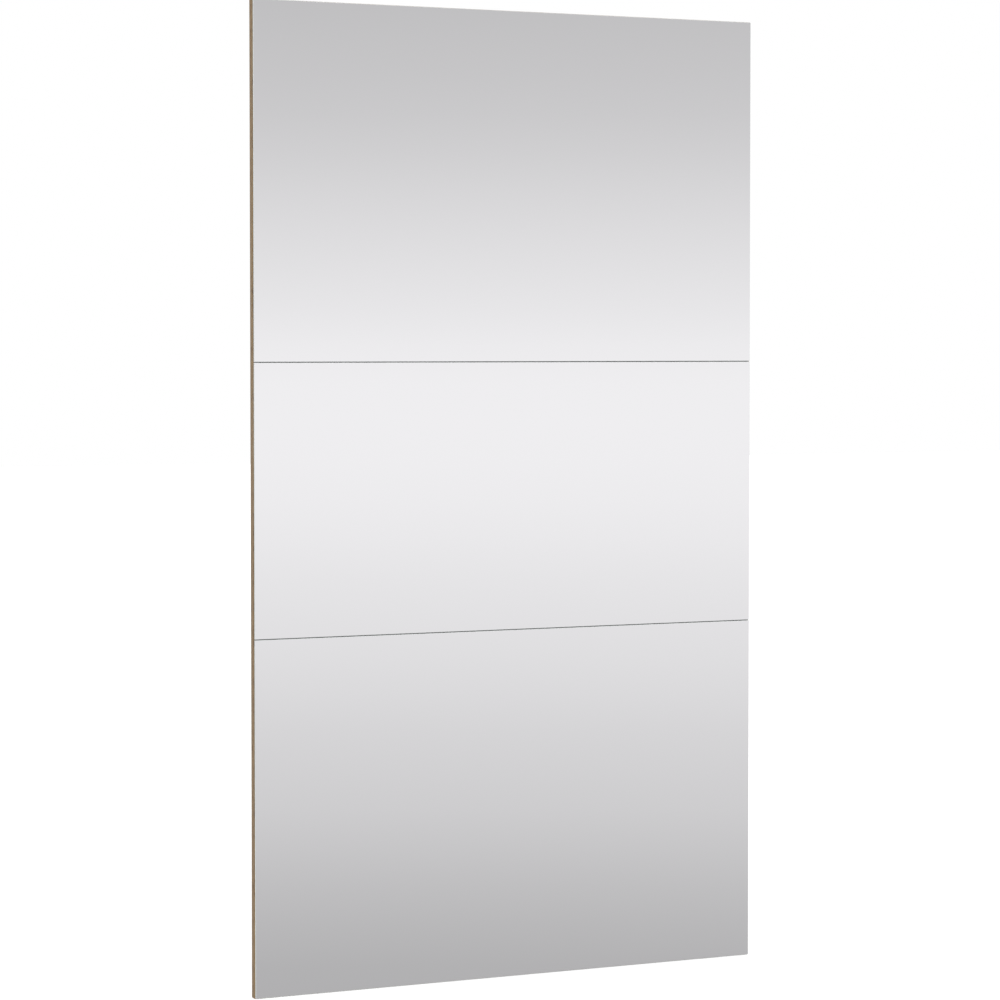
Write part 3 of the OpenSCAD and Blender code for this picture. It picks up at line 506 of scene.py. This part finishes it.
def face_outwards(obj):
    """Merges doubles, drops slivers, closes open ends and points all faces outwards."""
    solo(obj)
    bpy.ops.object.mode_set(mode="EDIT")
    bpy.ops.mesh.select_mode(type="VERT")
    bpy.ops.mesh.select_all(action="SELECT")
    bpy.ops.mesh.remove_doubles(threshold=SLIVER)
    bpy.ops.mesh.dissolve_degenerate(threshold=SLIVER)
    bpy.ops.mesh.fill_holes(sides=0)
    bpy.ops.mesh.normals_make_consistent(inside=False)
    bpy.ops.object.mode_set(mode="OBJECT")


def smoothed(obj, degrees=35):
    solo(obj)
    bpy.ops.object.shade_smooth_by_angle(angle=math.radians(degrees))
    return obj


def drawn(name, points):
    """A line through (radius, height) points in the XZ plane, extruded from one vertex point by point."""
    obj = named(start_with(bpy.ops.mesh.primitive_plane_add, size=MM), name)
    bpy.ops.object.mode_set(mode="EDIT")
    bpy.ops.mesh.select_mode(type="VERT")
    bpy.ops.mesh.select_all(action="SELECT")
    bpy.ops.mesh.merge(type="CENTER")
    bpy.ops.transform.translate(value=(points[0][0], 0, points[0][1]))
    for (r0, z0), (r1, z1) in zip(points, points[1:]):
        bpy.ops.mesh.extrude_region_move(TRANSFORM_OT_translate={"value": (r1 - r0, 0, z1 - z0)})
    bpy.ops.mesh.select_all(action="SELECT")
    bpy.ops.mesh.remove_doubles(threshold=WELD)
    bpy.ops.object.mode_set(mode="OBJECT")
    return obj


def turned(name, profile, steps=48):
    """A piece turned about Z from a profile of (radius, height) points that starts and ends on the axis."""
    obj = drawn(name, profile)
    modified(obj, "SCREW", steps=steps, render_steps=steps, use_merge_vertices=True, merge_threshold=WELD)
    face_outwards(obj)
    return obj


def thread(core, crest, pitch, low, high, steps):
    """The ridge of a right-hand thread between two heights. It is rooted a little way inside the core, where
    it takes up its base share of the pitch, and has a narrow flat at its crest."""
    root, base = 0.9 * core, 0.8
    section = [
        (root, low),
        (root, low + base * pitch),
        (crest, low + 0.46 * pitch),
        (crest, low + 0.34 * pitch),
        (root, low),
    ]
    ridge = drawn("thread", section)
    turns = int((high - low) / pitch - base)
    modified(ridge, "SCREW", steps=steps, render_steps=steps, screw_offset=pitch, iterations=turns)
    face_outwards(ridge)
    return ridge


def joined(pieces, name):
    bpy.ops.object.select_all(action="DESELECT")
    for piece in pieces:
        piece.select_set(True)
    bpy.context.view_layer.objects.active = pieces[0]
    if len(pieces) > 1:
        bpy.ops.object.join()
    return named(bpy.context.object, name)


def placed(template, places, name):
    """Copies the template to each place, with the place applied to the copy's mesh, joins the copies into
    one piece and deletes the template."""
    copies = []
    for place in places:
        solo(template)
        bpy.ops.object.duplicate()
        copy = bpy.context.object
        copy.matrix_world = place
        bpy.ops.object.transform_apply(location=True, rotation=True, scale=True)
        copies.append(copy)
    remove(template)
    return joined(copies, name)


def finished(piece, material, body, node):
    """Gives a new piece its finish and its body, and hides the node that it stands for."""
    piece.data.materials.clear()
    piece.data.materials.append(material)
    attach(piece, body)
    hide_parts(node)


def middle_of(node):
    """The place on the floor under the middle of a node."""
    low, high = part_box(node)
    return Vector(((low.x + high.x) / 2, (low.y + high.y) / 2, 0))


def solids_of(node):
    """The lowest and highest corner of each separate solid in a node."""
    mesh = bmesh.new()
    mesh.from_mesh(NODES[node].data)
    bmesh.ops.remove_doubles(mesh, verts=mesh.verts, dist=WELD)
    left, boxes = set(mesh.verts), []
    while left:
        island = [left.pop()]
        for vert in island:
            for edge in vert.link_edges:
                other = edge.other_vert(vert)
                if other in left:
                    left.remove(other)
                    island.append(other)
        boxes.append(
            tuple(Vector(pick(vert.co[i] for vert in island) for i in range(3)) for pick in (min, max))
        )
    mesh.free()
    return sorted(boxes, key=lambda box: (round(box[0].z, 4), box[0].x))


def cross_cutter(radius, depth, top):
    """The cross recess as a cutter: two blades at right angles that taper downwards, with their upper end
    clear of the head."""
    thickness, taper = 0.42 * radius, 0.4
    blades = []
    for turn in (0, 90):
        blade = start_with(bpy.ops.mesh.primitive_cube_add, size=1)
        blade.dimensions = (2 * radius, thickness, 2 * depth)
        blade.rotation_euler = (0, 0, math.radians(turn))
        bpy.ops.object.transform_apply(location=True, rotation=True, scale=True)
        pick_faces(blade, lambda face: face.normal.z < -SQUARE)
        bpy.ops.transform.resize(value=(taper, taper, 1), center_override=(0, 0, -depth))
        bpy.ops.mesh.select_all(action="SELECT")
        bpy.ops.transform.translate(value=(0, 0, top))
        bpy.ops.object.mode_set(mode="OBJECT")
        blades.append(blade)
    modified(blades[0], "BOOLEAN", operation="UNION", solver="EXACT", object=blades[1])
    remove(blades[1])
    return blades[0]


class DOOR_OT_leaf(bpy.types.Operator):
    """Finish the carrier board and its edge bands in oak decor"""

    bl_idname = "door.leaf"
    bl_label = "Leaf"

    def execute(self, context):
        oak = context.scene.door_oak
        dress(oak_decor("oak_decor_board", 0, oak, board=True), "carrier_board")
        dress(oak_decor("oak_decor_upright", 0, oak), "edge_band_left", "edge_band_right")
        dress(oak_decor("oak_decor_lying", math.radians(90), oak), "edge_band_top", "edge_band_bottom")
        return {"FINISHED"}


class DOOR_OT_mirrors(bpy.types.Operator):
    """Finish the mirror panes and the film, tape and adhesive behind them"""

    bl_idname = "door.mirrors"
    bl_label = "Mirrors"

    def execute(self, context):
        mirror = context.scene.door_mirror
        finishes = {
            "mirror": silvered_glass(mirror),
            "safety_film": woven_film(mirror),
            "mirror_tape": foam_tape(mirror),
            "mirror_adhesive": cured_adhesive(mirror),
        }
        for kind, material in finishes.items():
            dress(material, *(f"{kind}_{pane}" for pane in PANES))
        return {"FINISHED"}


class DOOR_OT_fittings(bpy.types.Operator):
    """Finish the pressed, turned and moulded pieces of the carriages and floor guides"""

    bl_idname = "door.fittings"
    bl_label = "Fittings"

    def execute(self, context):
        metal, plastic = context.scene.door_metal, context.scene.door_plastic
        acetal, bearing = moulded_acetal(plastic), ground_steel(metal)
        finishes = {
            zinc_plated_sheet(metal): ("hanger_plate", "carriage_frame", "guide_bracket", "catch_rivet"),
            turned_steel("turned_steel_axles", metal.turned, "Y", metal): ("wheel_axles",),
            turned_steel("turned_steel_pins", metal.turned, "Z", metal): ("height_nut", "guide_pin"),
            drawn_spring_steel(metal): ("screw_clip", "guide_clip"),
            glass_filled_nylon(plastic): ("lift_catch",),
            acetal: ("guide_sleeve",),
            bearing: ("bearing_inner_rings",),
        }
        for side in SIDES:
            for material, kinds in finishes.items():
                dress(material, *(f"{kind}_{side}" for kind in kinds))
            for place in PLACES:
                dress(acetal, f"wheel_tyre_{side}_{place}")
                dress(bearing, f"wheel_bearing_{side}_{place}")
        return {"FINISHED"}


class DOOR_OT_wood_screws(bpy.types.Operator):
    """Model the pan-head wood screws of the hanger plates and guide brackets"""

    bl_idname = "door.wood_screws"
    bl_label = "Wood Screws"

    def execute(self, context):
        settings, metal = context.scene.door_fittings, context.scene.door_metal
        material = turned_steel("zinc_plated_screws", metal.zinc, "Y", metal)
        chance = random.Random(7)
        for group, sheet in (("hanger_screws", "hanger_plate"), ("guide_screws", "guide_bracket")):
            for side in SIDES:
                node = f"{group}_{side}"
                boxes = solids_of(node)
                low, high = boxes[0]
                seat = self.seat(f"{sheet}_{side}")
                screw = self.screw(seat - low.y, (high.x - low.x) / 2, high.y - seat, settings)
                places = [
                    Matrix.Translation(((a.x + b.x) / 2, seat, (a.z + b.z) / 2))
                    @ Matrix.Rotation(math.radians(-90), 4, "X")
                    @ Matrix.Rotation(chance.uniform(0, math.pi), 4, "Z")
                    for a, b in boxes
                ]
                piece = placed(screw, places, f"pan_head_{node}")
                finished(piece, material, "leaf", node)
        return {"FINISHED"}

    def seat(self, sheet):
        """Where the outer face of the sheet lies: its lowest rearward face that is clear of the board."""
        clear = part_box("carrier_board")[1].y + 0.5 * MM
        faces = NODES[sheet].data.polygons
        return min(face.center.y for face in faces if face.normal.y > SQUARE and face.center.y > clear)

    def screw(self, length, head_r, head_h, settings):
        """A screw about Z with its head's underside at 0 and its point down: domed head with a cross recess,
        thin core and steep thread."""
        shank_r = 2 * MM
        core = shank_r - settings.wood_thread
        tip = 5 * MM - length
        thread_top = -1.2 * MM
        profile = [
            (0, -length),
            (0.3 * MM, 0.2 * MM - length),
            (core, tip),
            (core, thread_top),
            (shank_r, thread_top / 2),
            (shank_r, 0),
            (0.96 * head_r, 0),
            (head_r, 0.12 * head_h),
            (0.985 * head_r, 0.34 * head_h),
            (0.9 * head_r, 0.62 * head_h),
            (0.72 * head_r, 0.86 * head_h),
            (0.42 * head_r, 0.98 * head_h),
            (0, head_h),
        ]
        body = turned("wood_screw", profile, 32)
        cut(body, cross_cutter(0.58 * head_r, 0.8 * head_h, head_h))
        ridge = thread(core, shank_r, settings.wood_pitch, tip, thread_top, 16)
        return smoothed(joined([body, ridge], "wood_screw"))


class DOOR_OT_height_screws(bpy.types.Operator):
    """Model the threaded height screws with their socket heads"""

    bl_idname = "door.height_screws"
    bl_label = "Height Screws"

    def execute(self, context):
        settings, metal = context.scene.door_fittings, context.scene.door_metal
        material = turned_steel("turned_steel_height_screws", metal.turned, "Z", metal)
        for side in SIDES:
            node = f"height_screw_{side}"
            low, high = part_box(node)
            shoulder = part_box(f"hanger_plate_{side}")[0].z
            clip_low, clip_high = (corner.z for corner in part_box(f"screw_clip_{side}"))
            head_r = (high.x - low.x) / 2
            screw = self.screw(low.z, shoulder, clip_low, clip_high, high.z, head_r, settings)
            piece = placed(screw, [Matrix.Translation(middle_of(node))], f"socket_head_{node}")
            finished(piece, material, node, node)
        return {"FINISHED"}

    def screw(self, low, shoulder, clip_low, clip_high, tip, head_r, settings):
        """A screw about Z between its real heights: the head below the lug with a hexagon socket, the neck
        that the clip grips, and the thread up to its tip."""
        shank_r = 3 * MM
        neck_r = 0.75 * shank_r
        core = shank_r - settings.machine_thread
        play = 0.1 * MM
        chamfer = 0.6 * MM
        thread_low = clip_high + 4 * MM
        socket_flats, socket_depth = 4 * MM, 3.2 * MM
        profile = [
            (0, low),
            (head_r - 0.7 * MM, low),
            (head_r - 0.2 * MM, low + 0.25 * MM),
            (head_r, low + 0.7 * MM),
            (head_r, shoulder),
            (shank_r, shoulder),
            (shank_r, clip_low - play),
            (neck_r, clip_low - play),
            (neck_r, clip_high + play),
            (shank_r, clip_high + play),
            (shank_r, thread_low),
            (core, thread_low + chamfer),
            (core, tip - chamfer),
            (core - chamfer, tip),
            (0, tip),
        ]
        body = turned("height_screw", profile, 36)
        socket = start_with(
            bpy.ops.mesh.primitive_cylinder_add,
            vertices=6,
            radius=socket_flats / 2 / math.cos(math.radians(30)),
            depth=2 * socket_depth,
            location=(0, 0, low),
        )
        bpy.ops.object.transform_apply(location=True, rotation=True, scale=True)
        cut(body, socket)
        ridge = thread(core, shank_r, settings.machine_pitch, thread_low + 0.2 * MM, tip - 0.5 * MM, 24)
        return smoothed(joined([body, ridge], "height_screw"))


class DOOR_OT_springs(bpy.types.Operator):
    """Model the guide springs as one round wire with a close curl at each end"""

    bl_idname = "door.springs"
    bl_label = "Guide Springs"

    def execute(self, context):
        settings = context.scene.door_fittings
        material = bpy.data.materials["drawn_spring_steel"]
        for side in SIDES:
            node, joint = f"guide_spring_{side}", f"guide_lift_{side}"
            low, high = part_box(node)
            spring = self.spring(low, high, settings)
            finished(named(spring, f"wound_{node}"), material, "leaf", node)
            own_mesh(spring)
        return {"FINISHED"}

    def spring(self, low, high, settings):
        """A round section swept up by the screw modifier in three runs: a close curl, the open curls and a
        close curl, welded where they meet."""
        wire = settings.wire
        mean_r = (high.x - low.x - wire) / 2
        close_pitch = wire + 0.8 * MM
        rise = high.z - low.z - wire
        open_curls = settings.curls - 2
        open_pitch = (rise - 2 * close_pitch) / open_curls
        runs, height = [], low.z + wire / 2
        for pitch, curls in ((close_pitch, 1), (open_pitch, open_curls), (close_pitch, 1)):
            ring = start_with(
                bpy.ops.mesh.primitive_circle_add,
                vertices=12,
                radius=wire / 2,
                location=(mean_r, 0, height),
                rotation=(math.radians(90), 0, 0),
            )
            bpy.ops.object.transform_apply(location=True, rotation=True, scale=True)
            modified(ring, "SCREW", steps=32, render_steps=32, screw_offset=pitch, iterations=curls)
            runs.append(ring)
            height += pitch * curls
        spring = joined(runs, "spring")
        face_outwards(spring)
        centre = Vector(((low.x + high.x) / 2, (low.y + high.y) / 2, 0))
        return smoothed(placed(spring, [Matrix.Translation(centre)], "spring"), 60)


class DOOR_OT_knobs(bpy.types.Operator):
    """Model the scalloped knobs on the guide pins"""

    bl_idname = "door.knobs"
    bl_label = "Knobs"

    def execute(self, context):
        settings, plastic = context.scene.door_fittings, context.scene.door_plastic
        material = moulded_black(plastic)
        for side in SIDES:
            node, pin = f"guide_knob_{side}", f"guide_pin_{side}"
            low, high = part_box(node)
            pin_low, pin_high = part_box(pin)
            r, bore_r = (high.x - low.x) / 2, (pin_high.x - pin_low.x) / 2 + 0.02 * MM
            knob = self.knob(low.z, high.z, r, bore_r, pin_high.z, settings)
            piece = placed(knob, [Matrix.Translation(middle_of(node))], f"scalloped_{node}")
            finished(piece, material, pin, node)
        return {"FINISHED"}

    def knob(self, low, high, r, bore_r, bore_top, settings):
        """A knob about Z: collar below, two scalloped bands with a grip groove between them, and a domed top
        with a shallow dish. All its edges are softened, as they come out of the mould."""
        collar_r, collar_top = 0.7 * r, low + 3 * MM
        groove, groove_r, groove_centre = collar_top + 0.35 * (high - low), 1.4 * MM, r + 0.6 * MM
        groove_arc = [
            (groove_centre - groove_r * math.cos(angle), groove + groove_r * math.sin(angle))
            for angle in map(math.radians, range(-60, 61, 20))
        ]
        profile = [
            (0, bore_top),
            (bore_r, bore_top),
            (bore_r, low),
            (collar_r - 0.2 * MM, low),
            (collar_r, low + 0.2 * MM),
            (collar_r, collar_top),
            (r - 0.8 * MM, low + 4 * MM),
            (r - 0.1 * MM, low + 4.7 * MM),
            (r, low + 5 * MM),
            *groove_arc,
            (r, high - 3 * MM),
            (0.985 * r, high - 2.1 * MM),
            (0.94 * r, high - 1.4 * MM),
            (0.87 * r, high - 0.85 * MM),
            (0.78 * r, high - 0.4 * MM),
            (0.6 * r, high),
            (0.5 * r, high - 0.05 * MM),
            (0.3 * r, high - 0.4 * MM),
            (0, high - 0.5 * MM),
        ]
        knob = turned("knob", profile, 72)
        scallop = start_with(
            bpy.ops.mesh.primitive_cylinder_add,
            vertices=32,
            radius=settings.scallop_r,
            depth=high - low + 2 * MM,
            location=(r + settings.scallop_r - settings.scallop_depth, 0, (low + high) / 2),
        )
        bpy.ops.object.transform_apply(location=True, rotation=True, scale=True)
        count = settings.scallops
        turns = [Matrix.Rotation(math.tau * i / count, 4, "Z") for i in range(count)]
        cut(knob, placed(scallop, turns, "scallops"))
        sharp = math.radians(32)
        modified(knob, "BEVEL", width=0.18 * MM, segments=2, limit_method="ANGLE", angle_limit=sharp)
        face_outwards(knob)
        return smoothed(knob, 40)


class DOOR_OT_stage(bpy.types.Operator):
    """Set up the floor, the light and the camera"""

    bl_idname = "door.stage"
    bl_label = "Studio"

    def execute(self, context):
        stage = context.scene.door_stage
        self.floor(stage)
        self.world(context.scene, stage)
        self.lamp("key_light", stage.key, 50, -24, stage.softness)
        self.lamp("fill_light", stage.fill, 38, 150, stage.softness)
        self.camera(context.scene, stage)
        context.scene.view_settings.view_transform = "Standard"
        return {"FINISHED"}

    def floor(self, stage):
        """A pale painted floor that keeps the soft shadow. The camera sees it nearly white, and mirror and
        metal see past it to the studio's own gradient."""
        under = (0, 0, -0.5 * MM)
        floor = start_with(bpy.ops.mesh.primitive_plane_add, size=stage.floor_size, location=under)
        bpy.ops.object.transform_apply(location=True, rotation=True, scale=True)
        material, tree, position = new_material("painted_studio_floor", stage.floor)
        light = add(tree, "LightPath")
        speckle = grain(tree, position, (400, 400, 400), 2.0)
        colour = add(tree, "Mix", speckle, stage.floor, linear("#e6e6e6"), data_type="RGBA")
        lift = add(tree, "Math", light.outputs["Is Camera Ray"], 0.32, operation="MULTIPLY")
        shown = add(tree, "AddShader", add(tree, "BsdfDiffuse", colour), add(tree, "Emission", WHITE, lift))
        below = add(tree, "NewGeometry").outputs["Backfacing"]
        unseen = add(tree, "Math", light.outputs["Is Glossy Ray"], below, operation="MAXIMUM")
        shader = add(tree, "MixShader", unseen, shown, add(tree, "BsdfTransparent"))
        add(tree, "OutputMaterial", shader)
        floor.data.materials.append(material)
        named(floor, "studio_floor")

    def world(self, scene, stage):
        """White to the camera, even daylight on the pieces, and for what mirrors and metal show a bright
        horizon that fades to grey above and below, with a soft light overhead."""
        world = bpy.data.worlds.new("studio")
        scene.world = world
        world.use_nodes = True
        tree = world.node_tree
        tree.nodes.clear()
        direction = add(tree, "SeparateXYZ", add(tree, "TexCoord").outputs["Generated"])
        height = add(tree, "Math", direction.outputs["Z"], operation="ARCSINE")
        place = add(tree, "MapRange", height, math.radians(-90), math.radians(90))
        # Degrees above the horizon, and how bright mirrors and metal show it there
        fade = (
            (-90, 0.86),
            (-45, 0.68),
            (-20, 0.42),
            (-11, 0.52),
            (-9, 0.67),
            (-6.5, 0.805),
            (-4, 0.925),
            (-1.5, 1.0),
            (0.5, 0.935),
            (3.5, 0.73),
            (6.5, 0.60),
            (12, 0.55),
            (40, 0.95),
        )
        stops = [((degrees + 90) / 180, (grey, grey, grey, 1)) for degrees, grey in fade]
        ramp = add(tree, "ValToRGB", place, stops=stops)
        ramp.color_ramp.interpolation = "CARDINAL"
        rays = add(tree, "LightPath").outputs
        seen = add(tree, "Math", rays["Is Glossy Ray"], rays["Is Transmission Ray"], operation="MAXIMUM")
        daylight = add(tree, "Background", WHITE, stage.daylight)
        indirect = add(tree, "MixShader", seen, daylight, add(tree, "Background", ramp, 1.0))
        shader = add(tree, "MixShader", rays["Is Camera Ray"], indirect, add(tree, "Background", WHITE, 1.0))
        add(tree, "OutputWorld", shader)

    def lamp(self, name, strength, elevation, bearing, softness):
        """A broad distant light at an elevation and a bearing in degrees, where bearing 0 is in front."""
        rotation = (math.radians(90) - math.radians(elevation), 0, math.radians(bearing))
        bpy.ops.object.select_all(action="DESELECT")
        bpy.ops.object.light_add(type="SUN", location=(0, 0, 5), rotation=rotation)
        lamp = bpy.context.object
        lamp.name = name
        lamp.data.energy = strength
        lamp.data.angle = softness
        lamp.visible_glossy = False

    def camera(self, scene, stage):
        rotation = (math.radians(90) - stage.tilt, 0, stage.bearing)
        bpy.ops.object.select_all(action="DESELECT")
        bpy.ops.object.camera_add(location=stage.place, rotation=rotation)
        scene.camera = bpy.context.object
        scene.camera.data.lens = stage.lens
        scene.camera.data.shift_y = stage.rise


class DOOR_PT_panel(bpy.types.Panel):
    """Lists the steps that dress the door, and its settings"""

    bl_idname = "DOOR_PT_panel"
    bl_label = "Mirrored Sliding Door"
    bl_space_type = "VIEW_3D"
    bl_region_type = "UI"
    bl_category = "Sliding Door"

    def draw(self, context):
        for step in STEPS:
            self.layout.operator(step.bl_idname)
        for name in SETTINGS:
            box = self.layout.box()
            settings = getattr(context.scene, name)
            for field in settings.bl_rna.properties.keys():
                if field not in ("rna_type", "name"):
                    box.prop(settings, field)


STEPS = (
    DOOR_OT_leaf,
    DOOR_OT_mirrors,
    DOOR_OT_fittings,
    DOOR_OT_wood_screws,
    DOOR_OT_height_screws,
    DOOR_OT_springs,
    DOOR_OT_knobs,
    DOOR_OT_stage,
)
SETTINGS = {
    "door_oak": OakSettings,
    "door_mirror": MirrorSettings,
    "door_metal": MetalSettings,
    "door_plastic": PlasticSettings,
    "door_fittings": FittingSettings,
    "door_stage": StageSettings,
}


def register():
    for group in (*SETTINGS.values(), *STEPS, DOOR_PT_panel):
        bpy.utils.register_class(group)
    for name, group in SETTINGS.items():
        setattr(bpy.types.Scene, name, PointerProperty(type=group))


def unregister():
    for name in SETTINGS:
        delattr(bpy.types.Scene, name)
    for group in (DOOR_PT_panel, *STEPS, *SETTINGS.values()):
        bpy.utils.unregister_class(group)


def main():
    """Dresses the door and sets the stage."""
    register()
    bpy.ops.door.leaf()
    bpy.ops.door.mirrors()
    bpy.ops.door.fittings()
    bpy.ops.door.wood_screws()
    bpy.ops.door.height_screws()
    bpy.ops.door.springs()
    bpy.ops.door.knobs()
    bpy.ops.door.stage()


if __name__ == "__main__":
    main()
